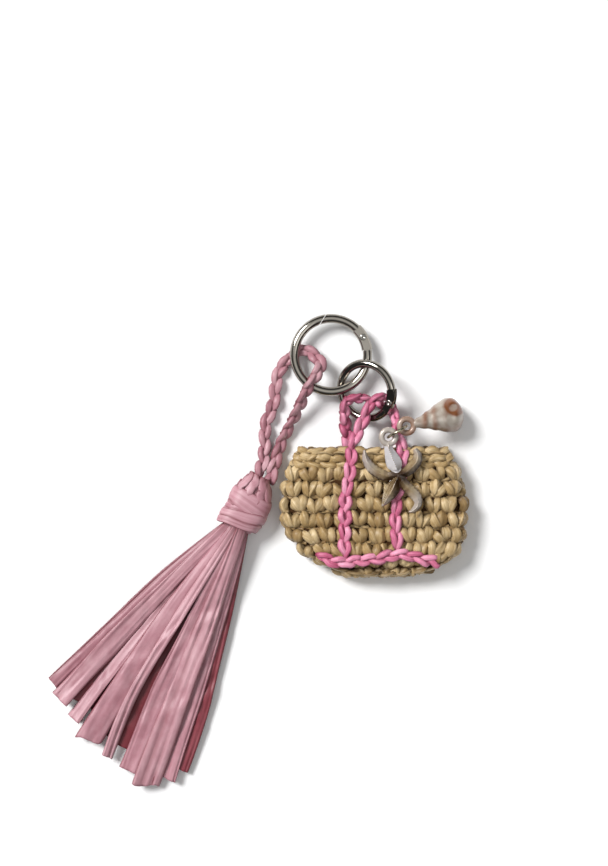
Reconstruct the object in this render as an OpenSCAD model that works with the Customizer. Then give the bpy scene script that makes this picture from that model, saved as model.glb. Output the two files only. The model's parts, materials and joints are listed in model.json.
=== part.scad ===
// Bag-charm keychain lying flat: two linked spring-gate rings, a ribbon tassel,
// a small crocheted tote and two cast sea charms on a jump ring.
// Origin: centre of the main ring, +Z up, +Y from the tassel towards the ring.

/* [Main ring] */
// Clear inside diameter of the main spring-gate ring
main_inner_d = 25; // [22:0.5:28]
// Wire diameter of the main ring
main_wire_d = 3.5; // [3:0.1:3.8]
// Direction of the main ring's hinge pin, from +X
main_hinge_angle = 29; // [20:1:40]
// Arc from the hinge pin to the latch of the main gate
main_gate_span = 74; // [60:1:90]
// Height of the main ring's middle above the surface it lies on
main_height = 5.7; // [5.65:0.05:5.8]

/* [Link ring] */
// Clear inside diameter of the smaller spring-gate ring
link_inner_d = 18.6; // [18:0.2:19]
// Wire diameter of the link ring
link_wire_d = 3.2; // [3:0.1:3.3]
// Tilt of the link ring where it leans on the main ring
link_tilt = 30; // [29.5:0.5:31]
// Direction in which the link ring rises, from +X
link_rise_angle = 26; // [24:1:28]
// Middle of the link ring, across
link_x = 13.7; // [13.6:0.1:13.8]
// Middle of the link ring, along
link_y = -14; // [-14.1:0.1:-13.9]
// Direction of the link ring's hinge pin, clockwise from +X
link_hinge_angle = 22; // [18:1:26]
// Arc from the hinge pin to the latch of the link gate
link_gate_span = 88; // [80:1:96]

/* [Tassel] */
// Width of the chained cord that hangs the tassel
tassel_cord_w = 4.2; // [3.6:0.1:4.4]
// Thickness of the chained cord
tassel_cord_t = 3.2; // [2.8:0.1:3.3]
// Length of the wrapped tassel head
head_length = 21; // [18:0.5:23]
// Longest ribbon, from the fan's apex
ribbon_reach = 135; // [125:1:140]
// Thickness of a ribbon where it is cut
ribbon_end_t = 1.6; // [1.2:0.1:1.7]

/* [Tote] */
// Width of the tote at its widest
bag_w = 73; // [70:1:76]
// Height of the tote above its widest line
bag_top_h = 22; // [20:0.5:24]
// Depth of the tote below its widest line
bag_base_h = 27; // [25:0.5:29]
// Thickness of one crocheted wall
wall_t = 4; // [3.6:0.1:4.2]
// Clear gap between the two walls
bag_gap = 4.6; // [4.5:0.1:5]
// Width of the chained trim and handles
trim_w = 3.8; // [3.4:0.1:4]

/* [Charms] */
// Inside diameter of the jump ring
jump_inner_d = 7.4; // [7.3:0.1:7.6]
// Wire diameter of the jump ring
jump_wire_d = 1.1; // [1:0.1:1.2]
// Diameter of the stock of the two cast charm loops
loop_wire_d = 2.3; // [2.1:0.1:2.4]
// Largest diameter of the shell
shell_d = 14; // [13:0.5:14]

/* [Hidden] */

round_fn = 96;
skin = 0.01;

// Spring-gate hinge, the same on both rings
gate_gap = 0.2;
body_gap = 0.3;
tongue_t = 1.2;
slot_t = 1.4;
tongue_r = 1.5;
pin_r = 0.8;
pin_clearance = 0.06;
rivet_head_r = 1.3;
rivet_head_t = 0.2;
housing_extra_r = 0.4;
housing_cut = 0.15;
housing_tail_l = 5.2;
housing_nose_l = 4.2;
pocket_l = 3.2;
pocket_r = 0.9;
spring_t = 0.4;
spring_w = 1;
latch_slant_extra = 8;
latch_overrun = 18;
latch_block_size = 8;
tongue_neck_inset = 0.12;
tongue_root_deg = 1.5;
tongue_slot_extra_deg = 2;
gate_overlap_deg = 1.5;
rivet_head_gap = 0.05;
spring_gap = 0.2;

main_r = (main_inner_d + main_wire_d) / 2;
link_r = (link_inner_d + link_wire_d) / 2;
link_height = link_r * sin(link_tilt) + link_wire_d / 2;

// Tassel
fan_apex = [-22.6, -44.1];
fan_low = 223.6;
fan_high = 254.3;
head_start = [-28, -48.2];
head_end = [-37.2, -67];
head_h = 6;
head_neck_size = [4.6, 4];
head_swell = [3.1, 2];
head_taper = [0.5, 0.4];
head_swell_share = 0.45;
head_taper_share = 0.25;
wrap_t = 0.8;
wrap_lines = [0.12, 0.42, 0.71, 0.97];
wrap_seam = 0.001;
ribbon_start = 28.4;
under_reach = [121, 129, 133, 126];
mid_reach = [124, 130, 133, 128];
top_reach = [122, 128, 132, ribbon_reach, 134, 127];
// Each layer: share of its place that a ribbon fills, lowest height and thickness
// at the neck, lowest height at the cut end
under_layer = [0.97, 0.5, 2.9, 0];
mid_layer = [0.94, 4.2, 2.8, 1.8];
top_layer = [0.9, 7.6, 3, 3.6];

// Tote
bag_x = 16.4;
bag_y = -59.5;
bag_taper = 0.18;
left_power = 1.8;
right_power = 2.5;
rim_h = 4.4;
side_cut_x = 22;
outline_steps = 14;
front_trim_step = 0.4;
front_t = wall_t - front_trim_step;
face_h = wall_t + bag_gap + front_t;
band_t = 4.6;
mouth_cut = 2;
trim_t = 1.6;
knot_centre = [18.3, -19.2, 11.8];
knot_r = 1.2;
handle_half_w = 1.7;

// Charms
jump_centre = [25.56, -29.78, 14.2];
jump_angle = 31;
jump_r = (jump_inner_d + jump_wire_d) / 2;
loop_r = 2.5;
loop_reach = 4.08;
loop_h = 15.4;
starfish_rise = 3;

// Centre line of the tassel cord: x, y, height, half width, half thickness
tassel_route = [
    [-28, -47.9, 5.6], [-26.9, -43, 4.6], [-26, -37, 3], [-25.4, -27, 1.9],
    [-22.5, -19.5, 1.7], [-21.5, -12, 1.7], [-20, -5.5, 1.7], [-16, -1, 1.7],
    [-11, 2.2, 2.6], [-6.6, 0.2, 4.8], [-4.4, -3.8, 7.2], [-5.8, -7.6, 9.1],
    [-8.6, -11.6, 9.5], [-12.4, -19.4, 6.6], [-15.4, -25.8, 3.6],
    [-19.4, -33.5, 2.6], [-21.4, -40, 3.8], [-23.9, -49.4, 5.6]
];

// Centre lines of the two handles, from the left seam to the right seam
front_route = [
    [7.8, -36.9, 12.9, 0.8], [9, -33, 11.6, 1.6], [11.3, -27.8, 9.6, 1.6], [13.6, -22.5, 9.2, 1.6],
    [15.6, -18.6, 9.7, 1.6], [18.6, -16.3, 9.3, 1.6], [21.6, -16.6, 7.4, 1.6],
    [23.6, -18.6, 6, 1.6], [24.6, -21.5, 6.4, 1.6], [25, -24.2, 8.8, 1.6],
    [25.3, -26.6, 11.3, 1.6], [25.4, -28.4, 12.35, 1.6], [25.6, -29.8, 12.35, 1.6],
    [25.8, -31.6, 12.35, 1.6], [26.8, -34.6, 12.7, 1.2], [27.6, -36.9, 13, 0.8]
];
back_route = [
    [7.2, -37.25, 2, 1.6], [6.4, -33, 2.6, 1.6], [5.4, -28, 3.6, 1.6], [5.1, -23, 5, 1.6],
    [5.1, -19.8, 5.8, 1.6], [6.6, -17.5, 6.8, 1.6], [9.6, -16.8, 7.6, 1.6],
    [12.6, -16.8, 6.6, 1.6], [15.6, -17.8, 5.2, 1.6], [19, -19, 4.4, 1.6],
    [22.4, -20.6, 3.2, 1.6], [24.6, -23.6, 2.4, 1.6], [25.8, -28, 2, 1.6],
    [26.8, -33, 2, 1.6], [27.7, -37.25, 2, 1.6]
];

left_stripe_route = [[7.8, -37.25], [7, -46], [5.5, -56], [5.1, -68], [5.6, -78.2]];
right_stripe_route = [[27.8, -37.25], [27, -46], [25.4, -56], [25, -66], [25.4, -75.2]];
base_stripe_route = [
    [-5.4, -77.6], [0, -79.8], [5.8, -80.4], [12.8, -79.4], [19.4, -78.6],
    [25.4, -77.3], [33.4, -78.6], [40.6, -80.2]
];

// Starfish arms: x, y, half width, half thickness
starfish_middle = [25.7, -46.4, 2.2, 1.8];
starfish_arms = [
    [starfish_middle, [24.4, -42.6, 3, 1.7], [22.9, -38.7, 2.3, 1.5], [22.1, -35, 1.4, 1.1]],
    [starfish_middle, [20, -46.6, 2.1, 1.6], [15.4, -43.8, 1.9, 1.4],
        [13.2, -40.2, 1.3, 1.1], [12.7, -37, 0.6, 0.8]],
    [starfish_middle, [30, -44.4, 2.1, 1.6], [32.9, -41.2, 1.9, 1.4], [32.2, -36.7, 0.8, 0.9]],
    [starfish_middle, [23.8, -51.3, 2.6, 1.7], [22.2, -54.3, 2.3, 1.4], [19.6, -58.4, 0.5, 0.8]],
    [starfish_middle, [29.9, -52, 2.1, 1.6], [33.2, -56, 1.8, 1.4],
        [31.9, -59.6, 1.2, 1.1], [29.8, -60.7, 0.6, 0.8]]
];

// Shell stations: distance from the loop's middle, height, radius as a share of the largest
shell_angle = 14;
shell_stations = [
    [3.2, 15.1, 0.2], [6.8, 13.6, 0.38], [10.4, 11.6, 0.6], [14.7, 9, 0.86],
    [18, 7.2, 0.96], [20.4, 7, 0.84], [22.2, 7, 0.5], [22.9, 7, 0.2]
];

function unit(v) = v / norm(v);

// Point at share t between b and c on the curve through a, b, c, d
function curve_point(a, b, c, d, t) =
    0.5 * (2 * b + (c - a) * t + (2 * a - 5 * b + 4 * c - d) * t * t
        + (3 * b - a - 3 * c + d) * t * t * t);

// A list of stations with n steps along each stretch between them
function smooth(p, n) = concat(
    [for (i = [0:len(p) - 2]) for (k = [0:n - 1])
        curve_point(p[max(i - 1, 0)], p[i], p[i + 1], p[min(i + 2, len(p) - 1)], k / n)],
    [p[len(p) - 1]]
);

function place(s) = [s[0], s[1], s[2]];

function heading(p, i) = unit(place(p[min(i + 1, len(p) - 1)]) - place(p[max(i - 1, 0)]));

function station_ring(p, i, sides) =
    let (t = heading(p, i), across = unit(cross(t, [0, 0, 1])), up = cross(across, t))
    [for (k = [0:sides - 1])
        place(p[i]) + across * p[i][3] * cos(360 * k / sides) + up * p[i][4] * sin(360 * k / sides)];

// Closed solid through stations of x, y, z, half width and half thickness
module loft(stations, sides = 8) {
    last = len(stations) - 1;
    walls = [for (i = [0:last - 1]) for (k = [0:sides - 1])
        let (a = i * sides + k, b = i * sides + (k + 1) % sides)
        each [[a, b, b + sides], [a, b + sides, a + sides]]];
    caps = [[for (k = [0:sides - 1]) sides - 1 - k], [for (k = [0:sides - 1]) last * sides + k]];
    polyhedron([for (i = [0:last]) each station_ring(stations, i, sides)], concat(walls, caps));
}

// Heights are given from the surface that the keychain lies on
module on_surface() {
    translate([0, 0, -main_height]) children();
}

// Stretch of round wire on a circle of radius r
module wire_arc(r, wire_r, from, to) {
    rotate([0, 0, from]) rotate_extrude(angle = to - from, $fn = round_fn)
        translate([r, 0]) circle(wire_r, $fn = 32);
}

// Block that ends at the slanted latch face. It starts at from, measured across
// the face away from the hinge
module latch_block(r, wire_r, span, from) {
    slant = span / 2 + latch_slant_extra;
    size = latch_block_size * wire_r;
    rotate([0, 0, span]) translate([r, 0, 0]) rotate([0, 0, 90 - slant])
        translate([from * size, -size / 2, -size / 2]) cube(size);
}

// Hinge-end shell of a gate: the wire widened and flattened on both faces
module hinge_shell(r, wire_r, tail, nose) {
    flat_h = 2 * (wire_r - housing_cut);
    rotate([0, 0, -tail]) rotate_extrude(angle = tail + nose, $fn = round_fn)
        translate([r, 0]) intersection() {
            circle(wire_r + housing_extra_r, $fn = 32);
            translate([-2 * wire_r, -flat_h / 2]) square([4 * wire_r, flat_h]);
        }
}

// Flat sector of a given thickness around the wire's centre line
module flat_sector(r, half_w, t, from, to) {
    rotate([0, 0, from]) rotate_extrude(angle = to - from, $fn = round_fn)
        translate([r - half_w, -t / 2]) square([2 * half_w, t]);
}

function arc_deg(length, r) = length / r * 180 / PI;

// The fixed arc of a ring, with the tongue that the gate turns on
module ring_body(r, wire_r, span) {
    tail = arc_deg(housing_tail_l + body_gap, r);
    difference() {
        union() {
            difference() {
                wire_arc(r, wire_r, span - latch_overrun, 360 - tail);
                latch_block(r, wire_r, span, -1);
            }
            flat_sector(r, tongue_r - tongue_neck_inset, tongue_t, -tail - tongue_root_deg, 0);
            translate([r, 0, -tongue_t / 2]) cylinder(h = tongue_t, r = tongue_r, $fn = round_fn);
        }
        translate([r, 0, -wire_r]) cylinder(h = 2 * wire_r, r = pin_r, $fn = round_fn);
    }
}

// The gate: wire up to the slanted latch, forked over the tongue at the hinge
module ring_gate(r, wire_r, span) {
    tail = arc_deg(housing_tail_l, r);
    nose = arc_deg(housing_nose_l, r);
    difference() {
        union() {
            hinge_shell(r, wire_r, tail, nose);
            wire_arc(r, wire_r, nose - gate_overlap_deg, span + latch_overrun);
        }
        latch_block(r, wire_r, span, -gate_gap / (latch_block_size * wire_r));
        flat_sector(r, 3 * wire_r, slot_t, -tail - tongue_slot_extra_deg, 0);
        translate([r, 0, -slot_t / 2])
            cylinder(h = slot_t, r = tongue_r + body_gap, $fn = round_fn);
        flat_sector(r, pocket_r, slot_t, 0, arc_deg(pocket_l, r));
        translate([r, 0, -2 * wire_r])
            cylinder(h = 4 * wire_r, r = pin_r + pin_clearance, $fn = round_fn);
    }
}

// Rivet through the fork and the tongue, with a domed-flat head on each face
module hinge_pin(r, wire_r) {
    head_z = wire_r - housing_cut + rivet_head_gap;
    translate([r, 0, 0]) {
        translate([0, 0, -head_z]) cylinder(h = 2 * head_z, r = pin_r, $fn = round_fn);
        for (s = [0, 1]) mirror([0, 0, s])
            translate([0, 0, head_z]) cylinder(h = rivet_head_t, r = rivet_head_r, $fn = round_fn);
    }
}

// Leaf spring in the pocket just past the tongue
module gate_spring(r) {
    from = arc_deg(tongue_r + body_gap + spring_gap, r);
    to = arc_deg(pocket_l - spring_gap, r);
    flat_sector(r, spring_t / 2, spring_w, from, to);
}

module at_main() {
    rotate([0, 0, main_hinge_angle]) children();
}

module at_link() {
    on_surface() translate([link_x, link_y, link_height])
        rotate([0, 0, link_rise_angle]) rotate([0, -link_tilt, 0])
        rotate([0, 0, -link_rise_angle - link_hinge_angle]) mirror([0, 1, 0]) children();
}

module main_ring_body() {
    color("dimgray") at_main() ring_body(main_r, main_wire_d / 2, main_gate_span);
}

module main_ring_gate() {
    color("gray") at_main() ring_gate(main_r, main_wire_d / 2, main_gate_span);
}

module main_ring_hinge_pin() {
    color("silver") at_main() hinge_pin(main_r, main_wire_d / 2);
}

module main_ring_gate_spring() {
    color("silver") at_main() gate_spring(main_r);
}

module link_ring_body() {
    color("dimgray") at_link() ring_body(link_r, link_wire_d / 2, link_gate_span);
}

module link_ring_gate() {
    color("gray") at_link() ring_gate(link_r, link_wire_d / 2, link_gate_span);
}

module link_ring_hinge_pin() {
    color("silver") at_link() hinge_pin(link_r, link_wire_d / 2);
}

module link_ring_gate_spring() {
    color("silver") at_link() gate_spring(link_r);
}

module tassel_cord() {
    stations = smooth([for (p = tassel_route) concat(p, [tassel_cord_w / 2, tassel_cord_t / 2])], 2);
    color("pink") on_surface() loft(stations);
}

// Half width and half thickness of the head at a share of its length
function head_shape(s) = let (u = min(s / head_swell_share, 1), v = max((s - 1) / head_taper_share + 1, 0))
    head_neck_size + head_swell * sin(90 * u) - head_taper * v;

function head_station(s, inset) = let (
        c = head_start + unit(head_end - head_start) * head_length * s, w = head_shape(s))
    [c[0], c[1], head_h, w[0] - inset, w[1] - inset];

module head_part(from, to, inset) {
    steps = 6;
    loft([for (i = [0:steps]) head_station(from + (to - from) * i / steps, inset)], 20);
}

module tassel_head_core() {
    color("pink") on_surface() head_part(0, 1, wrap_t);
}

// One turn of flat ribbon round the head
module head_wrap(from, to) {
    color("lightpink") on_surface() difference() {
        head_part(from, to, 0);
        head_part(0, 1, wrap_t - skin);
    }
}

module tassel_wrap_upper() { head_wrap(wrap_lines[0], wrap_lines[1]); }
module tassel_wrap_middle() { head_wrap(wrap_lines[1] + wrap_seam, wrap_lines[2]); }
module tassel_wrap_lower() { head_wrap(wrap_lines[2] + wrap_seam, wrap_lines[3]); }

// Flat ribbon from the tassel's neck to its cut end: its two edges as shares of
// the fan, its reach, and its lowest height and thickness at the neck
module ribbon(edge_a, edge_b, reach, near_h, near_t, far_h) {
    a = fan_low + (fan_high - fan_low) * edge_a;
    b = fan_low + (fan_high - fan_low) * edge_b;
    corners = [for (r = [ribbon_start, reach]) for (d = [a, b]) fan_apex + r * [cos(d), sin(d)]];
    low = [near_h, near_h, far_h, far_h];
    thick = [near_t, near_t, ribbon_end_t, ribbon_end_t];
    points = [for (k = [0, 1]) for (i = [0:3]) [corners[i][0], corners[i][1], low[i] + k * thick[i]]];
    color("pink") on_surface() polyhedron(points, [
        [0, 1, 3, 2], [4, 6, 7, 5], [0, 4, 5, 1], [1, 5, 7, 3], [3, 7, 6, 2], [2, 6, 4, 0]
    ]);
}

// Ribbon number i of the layer whose reaches are given
module layer_ribbon(i, reach, layer) {
    n = len(reach);
    middle = i + 0.5;
    ribbon((middle - layer[0] / 2) / n, (middle + layer[0] / 2) / n,
        reach[i], layer[1], layer[2], layer[3]);
}

module under_ribbon(i) { layer_ribbon(i, under_reach, under_layer); }
module mid_ribbon(i) { layer_ribbon(i, mid_reach, mid_layer); }
module top_ribbon(i) { layer_ribbon(i, top_reach, top_layer); }

// Outline of the tote, drawn in by inset: a straight mouth over a rounded base
function bag_side(y, inset) = (bag_w / 2 - inset) * (1 - bag_taper * pow(y / bag_top_h, 2));

function bag_arc(inset, power, s) = [for (i = [1:outline_steps - 1])
    let (a = 90 * i / outline_steps)
    [s * (bag_w / 2 - inset) * pow(cos(a), 2 / power),
        -(bag_base_h - inset) * pow(sin(a), 2 / power)]];

function reversed(p) = [for (i = [len(p) - 1:-1:0]) p[i]];

function bag_outline(inset) = let (rows = [for (i = [0:6]) bag_top_h * i / 6])
    concat(
        [for (y = reversed(rows)) [-bag_side(y, inset), y]],
        bag_arc(inset, left_power, -1),
        [[0, -(bag_base_h - inset)]],
        reversed(bag_arc(inset, right_power, 1)),
        [for (y = rows) [bag_side(y, inset), y]]
    );

// Slab of the tote between two heights, between two lines across it
module bag_slab(low_h, t, from_y, to_y) {
    on_surface() translate([bag_x, bag_y, low_h]) linear_extrude(t) intersection() {
        polygon(bag_outline(0));
        translate([-bag_w, from_y]) square([2 * bag_w, to_y - from_y]);
    }
}

module bag_front_wall() {
    color("tan") bag_slab(wall_t + bag_gap, front_t, -2 * bag_base_h, bag_top_h - rim_h);
}

module bag_back_wall() {
    color("tan") bag_slab(0, wall_t, -2 * bag_base_h, bag_top_h - rim_h);
}

module bag_front_rim() {
    color("burlywood") bag_slab(wall_t + bag_gap, front_t, bag_top_h - rim_h, bag_top_h);
}

module bag_back_rim() {
    color("burlywood") bag_slab(0, wall_t, bag_top_h - rim_h, bag_top_h);
}

// Part of the band of crochet between the two walls, from one line to another
module bag_band(from_x, to_x) {
    color("tan") on_surface() translate([bag_x, bag_y, wall_t]) linear_extrude(bag_gap)
        intersection() {
            difference() {
                polygon(bag_outline(0));
                polygon(bag_outline(band_t));
                translate([-side_cut_x, bag_top_h - mouth_cut / 2]) square([2 * side_cut_x, mouth_cut]);
            }
            translate([from_x, -bag_w]) square([to_x - from_x, 2 * bag_w]);
        }
}

module bag_left_side() { bag_band(-bag_w, -side_cut_x); }
module bag_base() { bag_band(-side_cut_x, side_cut_x); }
module bag_right_side() { bag_band(side_cut_x, bag_w); }

// Chained trim lying on the front wall
module stripe(route) {
    color("hotpink") on_surface() loft(smooth(
        [for (p = route) [p[0], p[1], face_h + trim_t / 2, trim_w / 2, trim_t / 2]], 2));
}

module bag_stripe_left() { stripe(left_stripe_route); }
module bag_stripe_right() { stripe(right_stripe_route); }
module bag_stripe_base() { stripe(base_stripe_route); }

module handle(route) {
    color("hotpink") on_surface() loft(smooth(
        [for (p = route) [p[0], p[1], p[2], handle_half_w, p[3]]], 2));
}

module front_handle() { handle(front_route); }
module back_handle() { handle(back_route); }

module handle_end_knot() {
    color("hotpink") on_surface() translate(knot_centre) sphere(r = knot_r, $fn = 32);
}

module at_jump_ring() {
    on_surface() translate(jump_centre) rotate([0, 0, jump_angle]) children();
}

module charm_jump_ring() {
    color("darkkhaki") at_jump_ring() rotate([90, 0, 0])
        rotate_extrude($fn = round_fn) translate([jump_r, 0]) circle(jump_wire_d / 2, $fn = 32);
}

function loop_centre(side) = [
    jump_centre[0] + side * loop_reach * cos(jump_angle),
    jump_centre[1] + side * loop_reach * sin(jump_angle),
    loop_h
];

module charm_loop() {
    rotate_extrude($fn = round_fn) translate([loop_r, 0]) circle(loop_wire_d / 2, $fn = 32);
}

// The starfish lies almost level, a little higher at its far arms
module starfish_charm() {
    c = loop_centre(-1);
    color("antiquewhite") on_surface() {
        translate(c) charm_loop();
        for (arm = starfish_arms)
            loft(smooth([for (p = arm)
                [p[0], p[1], loop_h + (c[1] - p[1]) * tan(starfish_rise), p[2], p[3]]], 3));
    }
}

// The shell hangs from its loop and rests its wide end on the surface
module shell_charm() {
    c = loop_centre(1);
    color("gainsboro") on_surface() {
        translate(c) charm_loop();
        loft(smooth([for (p = shell_stations) [
            c[0] + p[0] * cos(shell_angle), c[1] + p[0] * sin(shell_angle), p[1],
            shell_d / 2 * p[2], shell_d / 2 * p[2]]], 2), 16);
    }
}

main_ring_body();
main_ring_gate();
main_ring_hinge_pin();
main_ring_gate_spring();
link_ring_body();
link_ring_gate();
link_ring_hinge_pin();
link_ring_gate_spring();
tassel_cord();
tassel_head_core();
tassel_wrap_upper();
tassel_wrap_middle();
tassel_wrap_lower();
under_ribbon(0);  // tassel_ribbon_under_1
under_ribbon(1);  // tassel_ribbon_under_2
under_ribbon(2);  // tassel_ribbon_under_3
under_ribbon(3);  // tassel_ribbon_under_4
mid_ribbon(0);  // tassel_ribbon_mid_1
mid_ribbon(1);  // tassel_ribbon_mid_2
mid_ribbon(2);  // tassel_ribbon_mid_3
mid_ribbon(3);  // tassel_ribbon_mid_4
top_ribbon(0);  // tassel_ribbon_top_1
top_ribbon(1);  // tassel_ribbon_top_2
top_ribbon(2);  // tassel_ribbon_top_3
top_ribbon(3);  // tassel_ribbon_top_4
top_ribbon(4);  // tassel_ribbon_top_5
top_ribbon(5);  // tassel_ribbon_top_6
bag_front_wall();
bag_back_wall();
bag_left_side();
bag_base();
bag_right_side();
bag_front_rim();
bag_back_rim();
bag_stripe_left();
bag_stripe_right();
bag_stripe_base();
front_handle();
back_handle();
handle_end_knot();
charm_jump_ring();
starfish_charm();
shell_charm();
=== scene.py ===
import json
import math

import bpy
import numpy as np
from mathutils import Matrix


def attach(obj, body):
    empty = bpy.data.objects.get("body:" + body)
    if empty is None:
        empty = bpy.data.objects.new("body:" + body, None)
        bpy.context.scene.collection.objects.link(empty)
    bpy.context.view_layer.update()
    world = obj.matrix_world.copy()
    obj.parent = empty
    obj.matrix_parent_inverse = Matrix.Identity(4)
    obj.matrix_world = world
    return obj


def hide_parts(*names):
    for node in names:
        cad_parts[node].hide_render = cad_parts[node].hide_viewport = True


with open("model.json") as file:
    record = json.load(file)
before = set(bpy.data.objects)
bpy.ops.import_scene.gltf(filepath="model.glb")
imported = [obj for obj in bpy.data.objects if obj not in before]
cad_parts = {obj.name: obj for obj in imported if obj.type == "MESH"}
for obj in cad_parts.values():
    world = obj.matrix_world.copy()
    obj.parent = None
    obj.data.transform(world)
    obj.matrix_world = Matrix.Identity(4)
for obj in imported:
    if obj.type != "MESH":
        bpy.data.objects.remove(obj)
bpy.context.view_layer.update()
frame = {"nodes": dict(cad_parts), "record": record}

# Lengths are in millimetres up to make(), which writes metres.
MM = 0.001
SURFACE = -5.7  # the surface the keychain lies on; heights are given from it
RESTING = 0.03  # soft pieces are pressed flat just above it
RIBBON_REST = 0.05  # and the tassel's ribbons a little higher
rng = np.random.default_rng(11)

# Camera: straight above, +Y up in the picture
VIEW_CENTRE = (-10.5, -30.4)
VIEW_DISTANCE = 797.0
cam_data = bpy.data.cameras.new("camera")
cam_data.lens = 85
cam_data.sensor_width = 36
cam_data.clip_end = 20
cam = bpy.data.objects.new("camera", cam_data)
cam.location = (VIEW_CENTRE[0] * MM, VIEW_CENTRE[1] * MM, VIEW_DISTANCE * MM)
bpy.context.scene.collection.objects.link(cam)
bpy.context.scene.camera = cam

# Cords: points along the middle of each, from where it leaves the object
TASSEL_ROUTE = [
    (-28, -47.9, 5.6), (-26.9, -43, 4.6), (-26, -37, 3), (-25.4, -27, 1.9),
    (-22.5, -19.5, 1.7), (-21.5, -12, 1.7), (-20, -5.5, 1.7), (-16, -1, 1.7),
    (-11, 2.2, 2.6), (-6.6, 0.2, 4.8), (-4.4, -3.8, 7.2), (-5.8, -7.6, 9.1),
    (-8.6, -11.6, 9.5), (-12.4, -19.4, 6.6), (-15.4, -25.8, 3.6),
    (-19.4, -33.5, 2.6), (-21.4, -40, 3.8), (-23.9, -49.4, 5.6),
]
FRONT_ROUTE = [
    (7.8, -36.9, 12.9), (9, -33, 11.6), (11.3, -27.8, 9.6), (13.6, -22.5, 9.2),
    (15.6, -18.6, 9.7), (18.6, -16.3, 9.3), (21.6, -16.6, 7.4), (23.6, -18.6, 6),
    (24.6, -21.5, 6.4), (25, -24.2, 8.8), (25.3, -26.6, 11.3), (25.4, -28.4, 12.35),
    (25.6, -29.8, 12.35), (25.8, -31.6, 12.35), (26.8, -34.6, 12.7), (27.6, -36.9, 13),
]
BACK_ROUTE = [
    (7.2, -37.25, 2), (6.4, -33, 2.6), (5.4, -28, 3.6), (5.1, -23, 5),
    (5.1, -19.8, 5.8), (6.6, -17.5, 6.8), (9.6, -16.8, 7.6), (12.6, -16.8, 6.6),
    (15.6, -17.8, 5.2), (19, -19, 4.4), (22.4, -20.6, 3.2), (24.6, -23.6, 2.4),
    (25.8, -28, 2), (26.8, -33, 2), (27.7, -37.25, 2),
]
TASSEL_CORD_W = 4.2
TASSEL_CORD_T = 3.2
HANDLE_W = 3.8
HANDLE_T = 3.2


# ---- curves
def unit(v):
    v = np.asarray(v, float)
    return v / np.maximum(np.linalg.norm(v, axis=-1, keepdims=True), 1e-9)


def smooth(points, n):
    """Catmull-Rom curve through the points, n steps along each stretch."""
    p = np.asarray(points, float)
    q = np.vstack([p[:1], p, p[-1:]])
    t = (np.arange(n) / n)[:, None]
    out = []
    for i in range(len(p) - 1):
        a, b, c, d = q[i], q[i + 1], q[i + 2], q[i + 3]
        curved = (2 * a - 5 * b + 4 * c - d) * t**2 + (3 * b - a - 3 * c + d) * t**3
        out.append(0.5 * (2 * b + (c - a) * t + curved))
    return np.vstack(out + [p[-1:]])


def lengths(path):
    return np.concatenate([[0], np.cumsum(np.linalg.norm(np.diff(path, axis=0), axis=1))])


def along(path, s):
    """Points of a path at arc lengths s, carried on straight past its ends."""
    at = lengths(path)
    s = np.atleast_1d(s)
    out = np.stack([np.interp(s, at, path[:, k]) for k in range(path.shape[1])], 1)
    head, tail = unit(path[0, :3] - path[1, :3]), unit(path[-1, :3] - path[-2, :3])
    out[:, :3] += np.clip(-s, 0, None)[:, None] * head + np.clip(s - at[-1], 0, None)[:, None] * tail
    return out


def headings(path):
    return unit(np.gradient(path, axis=0))


def boxy(share, power):
    """A sine or cosine raised to a power with its sign kept, as a superellipse needs."""
    return np.sign(share) * np.abs(share) ** power


# ---- meshes
EDGE_SHADE = 0.42  # how much darker a strand gets down its sides


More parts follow.
